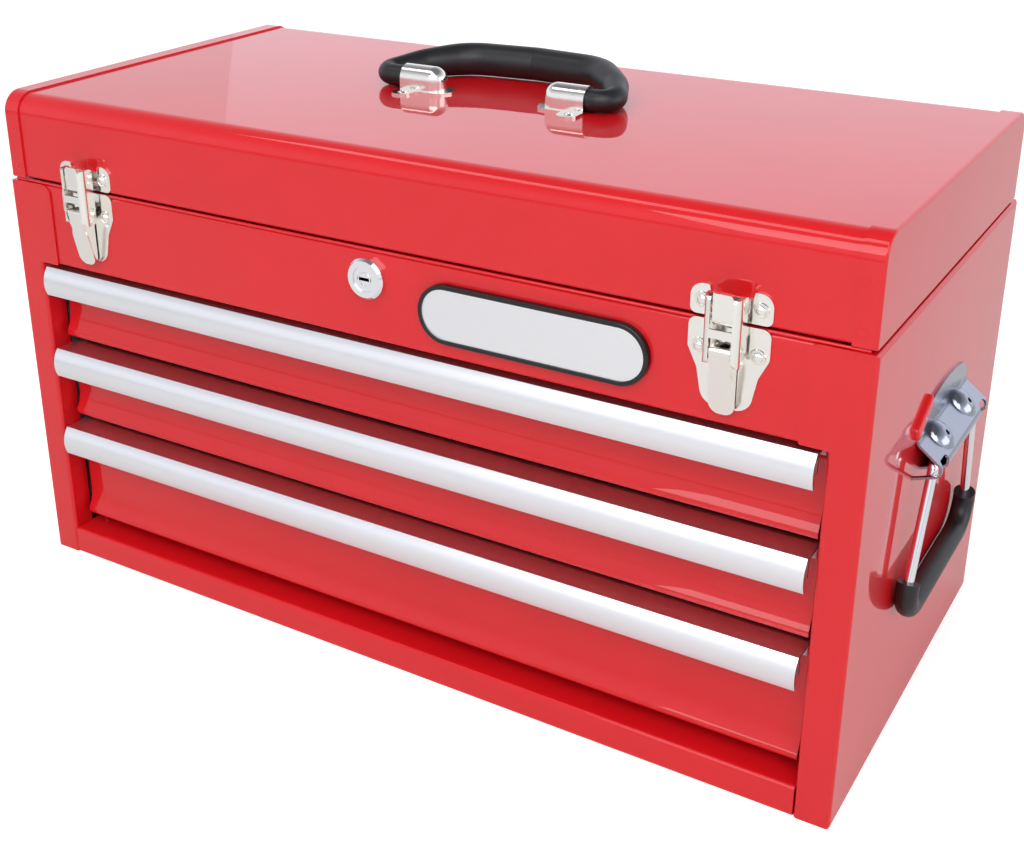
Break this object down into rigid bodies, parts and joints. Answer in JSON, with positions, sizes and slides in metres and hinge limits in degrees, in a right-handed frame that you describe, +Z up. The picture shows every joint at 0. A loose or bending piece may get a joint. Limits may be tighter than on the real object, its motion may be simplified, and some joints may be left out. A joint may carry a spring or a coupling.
{
  "type": "portable tool box with drawers",
  "caption": "Portable sheet-steel tool box: full-width drawers on ball slides below a lidded top compartment, with draw latches, a cylinder lock, a folding top handle and drop end handles.",
  "frame": {"origin": "middle of the cabinet's underside, on the surface the box stands on", "axes": "+X to the right seen from the front, front face towards -Y, +Z up"},
  "size_m": [0.5372, 0.2654, 0.3133],
  "materials": {
    "enamelled_steel": "gloss red enamel on sheet steel",
    "zinc_plated_steel": "bright zinc plate",
    "anodised_aluminium": "satin anodised",
    "nickel_plated_steel": "bright nickel plate",
    "chromed_steel": "bright chrome plate",
    "soft_black_plastic": "satin soft PVC moulding",
    "black_plastic": "gloss moulding"
  },
  "bodies": {
    "cabinet": {"side_panel_right": "enamelled_steel", "side_panel_left": "enamelled_steel", "back_panel": "enamelled_steel", "floor_panel": "enamelled_steel", "bottom_rail": "enamelled_steel", "upper_front_panel": "enamelled_steel", "well_floor": "enamelled_steel", "slide_posts": "enamelled_steel", "drawer_bottom_channels": "zinc_plated_steel", "drawer_middle_channels": "zinc_plated_steel", "drawer_top_channels": "zinc_plated_steel", "hinge_leaf_body": "enamelled_steel", "hinge_pin": "zinc_plated_steel", "latch_base_right": "nickel_plated_steel", "latch_base_left": "nickel_plated_steel", "latch_lever_pins": "nickel_plated_steel", "lock_housing": "chromed_steel", "lock_nut": "zinc_plated_steel", "badge_frame": "black_plastic", "badge_face": "anodised_aluminium", "side_bracket_right": "chromed_steel", "side_bracket_left": "chromed_steel"},
    "lid": {"lid_cover": "enamelled_steel", "lid_end_cap_right": "enamelled_steel", "lid_end_cap_left": "enamelled_steel", "hinge_leaf_lid": "enamelled_steel", "latch_keeper_right": "nickel_plated_steel", "latch_keeper_left": "nickel_plated_steel", "lock_catch": "zinc_plated_steel", "handle_saddle_right": "chromed_steel", "handle_saddle_left": "chromed_steel"},
    "carry_handle": {"top_handle": "soft_black_plastic"},
    "lock_core": {"lock_plug": "chromed_steel", "lock_cam": "zinc_plated_steel"},
    "side_handle_right": {"side_ring_right": "chromed_steel", "side_grip_right": "soft_black_plastic"},
    "lever_right": {"latch_lever_right": "nickel_plated_steel", "latch_bail_pin_right": "nickel_plated_steel"},
    "bail_right": {"latch_bail_right": "nickel_plated_steel"},
    "side_handle_left": {"side_ring_left": "chromed_steel", "side_grip_left": "soft_black_plastic"},
    "lever_left": {"latch_lever_left": "nickel_plated_steel", "latch_bail_pin_left": "nickel_plated_steel"},
    "bail_left": {"latch_bail_left": "nickel_plated_steel"},
    "drawer_bottom": {"drawer_bottom_tray": "enamelled_steel", "drawer_bottom_front": "enamelled_steel", "drawer_bottom_pull": "anodised_aluminium", "drawer_bottom_runners": "zinc_plated_steel"},
    "cages_bottom": {"drawer_bottom_ball_cages": "zinc_plated_steel"},
    "drawer_middle": {"drawer_middle_tray": "enamelled_steel", "drawer_middle_front": "enamelled_steel", "drawer_middle_pull": "anodised_aluminium", "drawer_middle_runners": "zinc_plated_steel"},
    "cages_middle": {"drawer_middle_ball_cages": "zinc_plated_steel"},
    "drawer_top": {"drawer_top_tray": "enamelled_steel", "drawer_top_front": "enamelled_steel", "drawer_top_pull": "anodised_aluminium", "drawer_top_runners": "zinc_plated_steel"},
    "cages_top": {"drawer_top_ball_cages": "zinc_plated_steel"}
  },
  "joints": [
    {"name": "lid_hinge", "type": "hinge", "parent": "cabinet", "child": "lid", "pos_m": [0, 0.12715, 0.245], "axis": [-1, 0, 0], "range_deg": [0, 95]},
    {"name": "carry_handle_hinge", "type": "hinge", "parent": "lid", "child": "carry_handle", "pos_m": [-0.0057, 0.002, 0.3008], "axis": [1, 0, 0], "range_deg": [0, 172]},
    {"name": "lock_turn", "type": "hinge", "parent": "cabinet", "child": "lock_core", "pos_m": [-0.0023, -0.124, 0.23], "axis": [0, -1, 0], "range_deg": [0, 90]},
    {"name": "side_handle_right_hinge", "type": "hinge", "parent": "cabinet", "child": "side_handle_right", "pos_m": [0.2629, 0, 0.157], "axis": [0, -1, 0], "range_deg": [0, 95]},
    {"name": "side_handle_left_hinge", "type": "hinge", "parent": "cabinet", "child": "side_handle_left", "pos_m": [-0.2629, 0, 0.157], "axis": [0, 1, 0], "range_deg": [0, 95]},
    {"name": "latch_right_lever", "type": "hinge", "parent": "cabinet", "child": "lever_right", "pos_m": [0.1897, -0.131, 0.2334], "axis": [-1, 0, 0], "range_deg": [0, 90]},
    {"name": "latch_right_bail", "type": "hinge", "parent": "lever_right", "child": "bail_right", "pos_m": [0.1897, -0.1304, 0.2303], "axis": [-1, 0, 0], "range_deg": [-76.5, 0]},
    {"name": "latch_left_lever", "type": "hinge", "parent": "cabinet", "child": "lever_left", "pos_m": [-0.1943, -0.131, 0.2334], "axis": [-1, 0, 0], "range_deg": [0, 90]},
    {"name": "latch_left_bail", "type": "hinge", "parent": "lever_left", "child": "bail_left", "pos_m": [-0.1943, -0.1304, 0.2303], "axis": [-1, 0, 0], "range_deg": [-76.5, 0]},
    {"name": "drawer_bottom_slide", "type": "slide", "parent": "cabinet", "child": "drawer_bottom", "axis": [0, -1, 0], "range_m": [0, 0.165]},
    {"name": "cages_bottom_slide", "type": "slide", "parent": "cabinet", "child": "cages_bottom", "axis": [0, -1, 0], "range_m": [0, 0.0825]},
    {"name": "drawer_middle_slide", "type": "slide", "parent": "cabinet", "child": "drawer_middle", "axis": [0, -1, 0], "range_m": [0, 0.165]},
    {"name": "cages_middle_slide", "type": "slide", "parent": "cabinet", "child": "cages_middle", "axis": [0, -1, 0], "range_m": [0, 0.0825]},
    {"name": "drawer_top_slide", "type": "slide", "parent": "cabinet", "child": "drawer_top", "axis": [0, -1, 0], "range_m": [0, 0.165]},
    {"name": "cages_top_slide", "type": "slide", "parent": "cabinet", "child": "cages_top", "axis": [0, -1, 0], "range_m": [0, 0.0825]}
  ],
  "couplings": [
    {"joint": "latch_right_bail", "follows": "latch_right_lever", "ratio": -0.85},
    {"joint": "latch_left_bail", "follows": "latch_left_lever", "ratio": -0.85},
    {"joint": "cages_bottom_slide", "follows": "drawer_bottom_slide", "ratio": 0.5},
    {"joint": "cages_middle_slide", "follows": "drawer_middle_slide", "ratio": 0.5},
    {"joint": "cages_top_slide", "follows": "drawer_top_slide", "ratio": 0.5}
  ]
}
